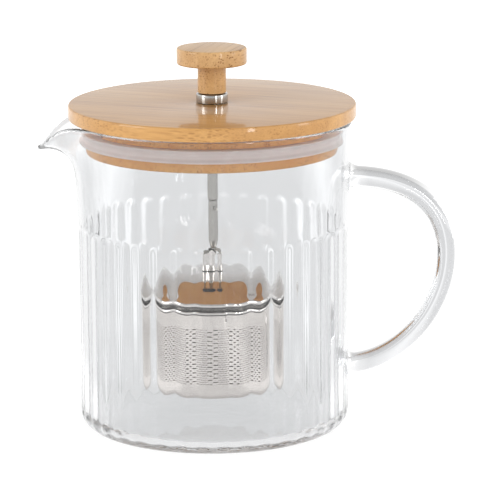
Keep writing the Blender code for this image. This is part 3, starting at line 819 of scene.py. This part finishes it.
def dome_z(radius):
    """Height of the dome's upper face."""
    return DOME_RIM_Z + (DOME_APEX_Z - DOME_RIM_Z) * (1 - (radius / DOME_R) ** 4)


def make_cap(steel):
    top_radii = spread(DOME_HOLE_R, *DOME_TOP_ROWS)
    under_radii = spread(DOME_HOLE_R, *DOME_UNDER_ROWS)
    outline = [(r, dome_z(r)) for r in top_radii]
    outline += arc(DOME_R, DOME_RIM_Z - CAP_ROLL_R, CAP_ROLL_R, 66, -120, 14)
    outline += [(r, dome_z(r) - DOME_THICKNESS) for r in reversed(under_radii)]
    turned("domed_cap", outline, CAP_STEPS, steel, "infuser", ("cap_dome",))


def lug_dip(angle, z):
    """How far the wall is pressed in around each bayonet lug."""
    pitch = TAU / LUG_COUNT
    across = math.remainder(angle - LUG_FIRST_ANGLE, pitch) * radius_of("basket_wall")
    distance = math.hypot(across, z - LUG_Z) / LUG_SPREAD
    return LUG_DEPTH * max(0.0, 1 - distance**2) ** 2


def make_perforated_wall(steel):
    """Etched basket wall: staggered through holes between two plain bands.

    Each skin is a net of six-sided cells with a hole in the middle of each.
    """
    low, high = height_range("basket_wall")
    outer_r = radius_of("basket_wall")
    inner_r = outer_r - BASKET_THICKNESS
    count = 2 * HOLE_COLUMNS
    sides = len(HOLE_CORNERS)
    row_pitch = (HOLE_BAND_Z[1] - HOLE_BAND_Z[0]) / HOLE_ROWS
    points, faces = [], []

    def spot(radius, angle, z):
        radius -= lug_dip(angle, z)
        points.append((radius * math.cos(angle), radius * math.sin(angle), z))
        return len(points) - 1

    def ring(radius, z):
        return [spot(radius, TAU * k / count, z) for k in range(count)]

    def seam(radius, row):
        """Zigzag line of cell corners under a row of holes."""
        middle = HOLE_BAND_Z[0] + (row + 0.5) * row_pitch
        corners = []
        for k in range(count):
            drop = 2 / 3 if (k - row) % 2 == 0 else 1 / 3
            corners.append(spot(radius, TAU * k / count, middle - drop * row_pitch))
        return corners

    def holes(radius, row):
        """Corners of the holes in a row, by column."""
        middle = HOLE_BAND_Z[0] + (row + 0.5) * row_pitch
        result = {}
        for k in range(row % 2, count, 2):
            angle = TAU * k / count
            result[k] = [
                spot(radius, angle + HOLE_R * math.cos(t) / radius, middle + HOLE_R * math.sin(t))
                for t in HOLE_CORNERS
            ]
        return result

    def band(first, second):
        """Faces between two rings."""
        for k in range(count):
            ahead = (k + 1) % count
            faces.append((first[k], second[k], second[ahead], first[ahead]))

    def cells(below, above, rims, outside):
        """Faces between the holes of a row and the seams on both sides of it."""
        for k, rim in rims.items():
            left, right = (k - 1) % count, (k + 1) % count
            cell = (below[right], above[right], above[k], above[left], below[left], below[k])
            for i in range(sides):
                ahead = (i + 1) % sides
                face = (cell[i], cell[ahead], rim[ahead], rim[i])
                faces.append(face if outside else face[::-1])

    skins = []
    for radius, outside in ((outer_r, True), (inner_r, False)):
        seams = [seam(radius, row) for row in range(HOLE_ROWS + 1)]
        rims = [holes(radius, row) for row in range(HOLE_ROWS)]
        for row in range(HOLE_ROWS):
            cells(seams[row], seams[row + 1], rims[row], outside)
        skins.append((seams, rims))
    for outer_row, inner_row in zip(skins[0][1], skins[1][1]):
        for k, rim in outer_row.items():
            for i in range(sides):
                ahead = (i + 1) % sides
                faces.append((rim[i], rim[ahead], inner_row[k][ahead], inner_row[k][i]))

    upper = spread(high, HOLE_BAND_Z[1] + row_pitch / 2, PLAIN_BAND_ROWS)
    corner = BASKET_CORNER_R
    foot = arc(outer_r - corner, low + corner, corner, 0, -90, 9)
    foot += [(BASKET_FLOOR_GAP_R, low), (BASKET_FLOOR_GAP_R, low + BASKET_THICKNESS)]
    foot += arc(outer_r - corner, low + corner, corner - BASKET_THICKNESS, -90, 0, 9)
    route = [ring(inner_r, z) for z in reversed(upper)] + [ring(outer_r, z) for z in upper]
    for first, second in zip(route, route[1:]):
        band(first, second)
    band(route[-1], skins[0][0][-1])
    lower = [skins[0][0][0]] + [ring(r, z) for r, z in foot] + [skins[1][0][0]]
    for first, second in zip(lower, lower[1:]):
        band(first, second)
    band(skins[1][0][-1], route[0])
    mesh = new_mesh("mesh_wall", points, faces)
    nodes = ("basket_wall",)
    place_mesh("mesh_wall", mesh, steel, "basket", nodes, sharp_deg=40)


def make_rim_bead(steel):
    inner = radius_of("basket_wall") - BASKET_THICKNESS
    low, high = height_range("basket_rim")
    radius, half = radius_of("basket_rim"), (high - low) / 2
    outline = [(inner, high)]
    outline += arc(radius - half, high - half, half, 90, -90, 10)
    outline += [(inner, low)]
    turned("rim_bead", outline, CAP_STEPS, steel, "basket", ("basket_rim",))


# ---------------------------------------------------------------- stage


def add_light(name, place, size, power):
    """Soft rectangular light aimed at the pot."""
    data = bpy.data.lights.new(name, "AREA")
    data.shape = "RECTANGLE"
    data.size, data.size_y = size
    data.energy = power
    light = linked(name, data)
    light.location = place
    light.rotation_euler = (LIGHT_AIM - Vector(place)).to_track_quat("-Z", "Y").to_euler()


def make_world():
    """Soft studio light: dimmer overhead and behind the camera, brighter on both sides."""
    world = bpy.data.worlds.new("studio")
    bpy.context.scene.world = world
    n = Nodes(world, "Background")
    way = n.parts(n.coords["Generated"])
    level = n.fit(way["Z"], *STUDIO_UP, "SMOOTHSTEP")
    behind = n.fit(way["Y"], *STUDIO_BEHIND_CAMERA, "SMOOTHSTEP")
    aside = n.fit(n.math("ABSOLUTE", way["X"]), *STUDIO_ASIDE, "SMOOTHSTEP")
    for factor in (behind, aside):
        level = n.math("MULTIPLY", level, factor)
    n.set(Color=(1, 1, 1, 1), Strength=level)


def make_floor():
    """Pale floor that gives off light, so that the object throws next to no shadow.

    A brighter strip on either side and far behind picks out the flutes.
    """
    material, n = new_material("studio_floor")
    place = n.parts(n.coords["Object"])
    aside = n.math("ABSOLUTE", place["X"])
    level = n.fit(aside, *FLOOR_BESIDE)
    level = n.math("MULTIPLY", level, n.fit(aside, *FLOOR_FURTHER_OUT))
    level = n.math("MULTIPLY", level, n.fit(place["Y"], *FLOOR_FAR_BACK))
    n.set(
        Base_Color=(0.10, 0.10, 0.10, 1),
        Roughness=0.9,
        Specular_IOR_Level=0.0,
        Emission_Color=(1, 1, 1, 1),
        Emission_Strength=level,
    )
    corners = [(x * FLOOR_REACH, y * FLOOR_REACH, FLOOR_Z) for x, y in FLOOR_CORNERS]
    floor = linked("floor", new_mesh("floor", corners, [[0, 1, 2, 3]]))
    floor.data.materials.append(material)


def make_camera():
    data = bpy.data.cameras.new("camera")
    data.sensor_width = SENSOR_MM
    data.lens = LENS_MM
    data.clip_start, data.clip_end = CAMERA_CLIP
    camera = linked("camera", data)
    back = Vector((0, -math.cos(CAMERA_ELEVATION), math.sin(CAMERA_ELEVATION)))
    tilt = Euler((math.pi / 2 - CAMERA_ELEVATION, 0, 0)).to_matrix()
    turn = tilt @ Matrix.Rotation(CAMERA_ROLL, 3, "Z")
    camera.matrix_world = Matrix.Translation(CAMERA_AIM + back * CAMERA_DISTANCE) @ turn.to_4x4()
    bpy.context.scene.camera = camera


def set_look():
    """Plain colours, and enough bounces for light to get through the layers of glass."""
    scene = bpy.context.scene
    scene.view_settings.view_transform = "Standard"
    scene.cycles.max_bounces = LIGHT_BOUNCES
    scene.cycles.transmission_bounces = LIGHT_BOUNCES
    scene.cycles.glossy_bounces = LIGHT_BOUNCES
    scene.cycles.transparent_max_bounces = TRANSPARENT_BOUNCES


def main():
    make_camera()
    make_world()
    make_floor()
    for light in LIGHTS:
        add_light(*light)
    set_look()

    board = bamboo_material(
        "bamboo_board",
        BOARD_TONES,
        strip_width=0.021,
        fibre_turn=BOARD_FIBRE_TURN,
        seed=0.0,
        coat=0.6,
        dot_strength=0.55,
    )
    plug = bamboo_material(
        "bamboo_plug",
        PLUG_TONES_AND_PAINTED_LIGHT,
        strip_width=0.020,
        fibre_turn=FIBRE_TURN,
        seed=0.7,
        coat=0.05,
        dot_strength=0.9,
        glow=0.06,
    )
    knob = bamboo_material(
        "bamboo_knob",
        KNOB_TONES,
        strip_width=0.015,
        fibre_turn=FIBRE_TURN,
        seed=1.9,
        coat=0.3,
        dot_strength=0.95,
    )
    silicone = silicone_material("silicone")
    polished = steel_material("polished_steel", POLISHED, roughness=0.07)
    satin = steel_material("satin_steel", SATIN, roughness=0.20, brushed=0.03, underside=0.2)
    rod_steel = steel_material("rod_steel", ROD_GREY, roughness=0.12)
    collar_steel = steel_material("collar_steel", COLLAR_GREY, roughness=0.06)
    # dark steel on the skirt is painted shade in the gap under the cap
    painted_shade_skirt_steel = steel_material("painted_shade_skirt_steel", SKIRT_PAINTED_SHADE_GREY, roughness=0.25, brushed=0.03)
    fastener_steel = steel_material("fastener_steel", FASTENER_GREY, roughness=0.30)

    make_glass_pot()
    make_board(board)
    make_plug(plug)
    make_seal(silicone)
    make_guide_bush(collar_steel)
    make_knob(knob)
    make_cap(polished)
    make_perforated_wall(satin)
    make_rim_bead(polished)

    kept = {
        rod_steel: ("push_rod", "coupling_pin", "hanger_tube"),
        polished: ("stem_tube",),
        painted_shade_skirt_steel: ("cap_skirt",),
        satin: ("basket_floor",),
        fastener_steel: ("bush_washer", "bush_nut", "knob_insert", "cap_washer", "cap_nut"),
        silicone: ("rod_grip_ring",),
    }
    for material, names in kept.items():
        for name in names:
            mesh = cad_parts[name].data
            mesh.materials.clear()
            mesh.materials.append(material)


main()
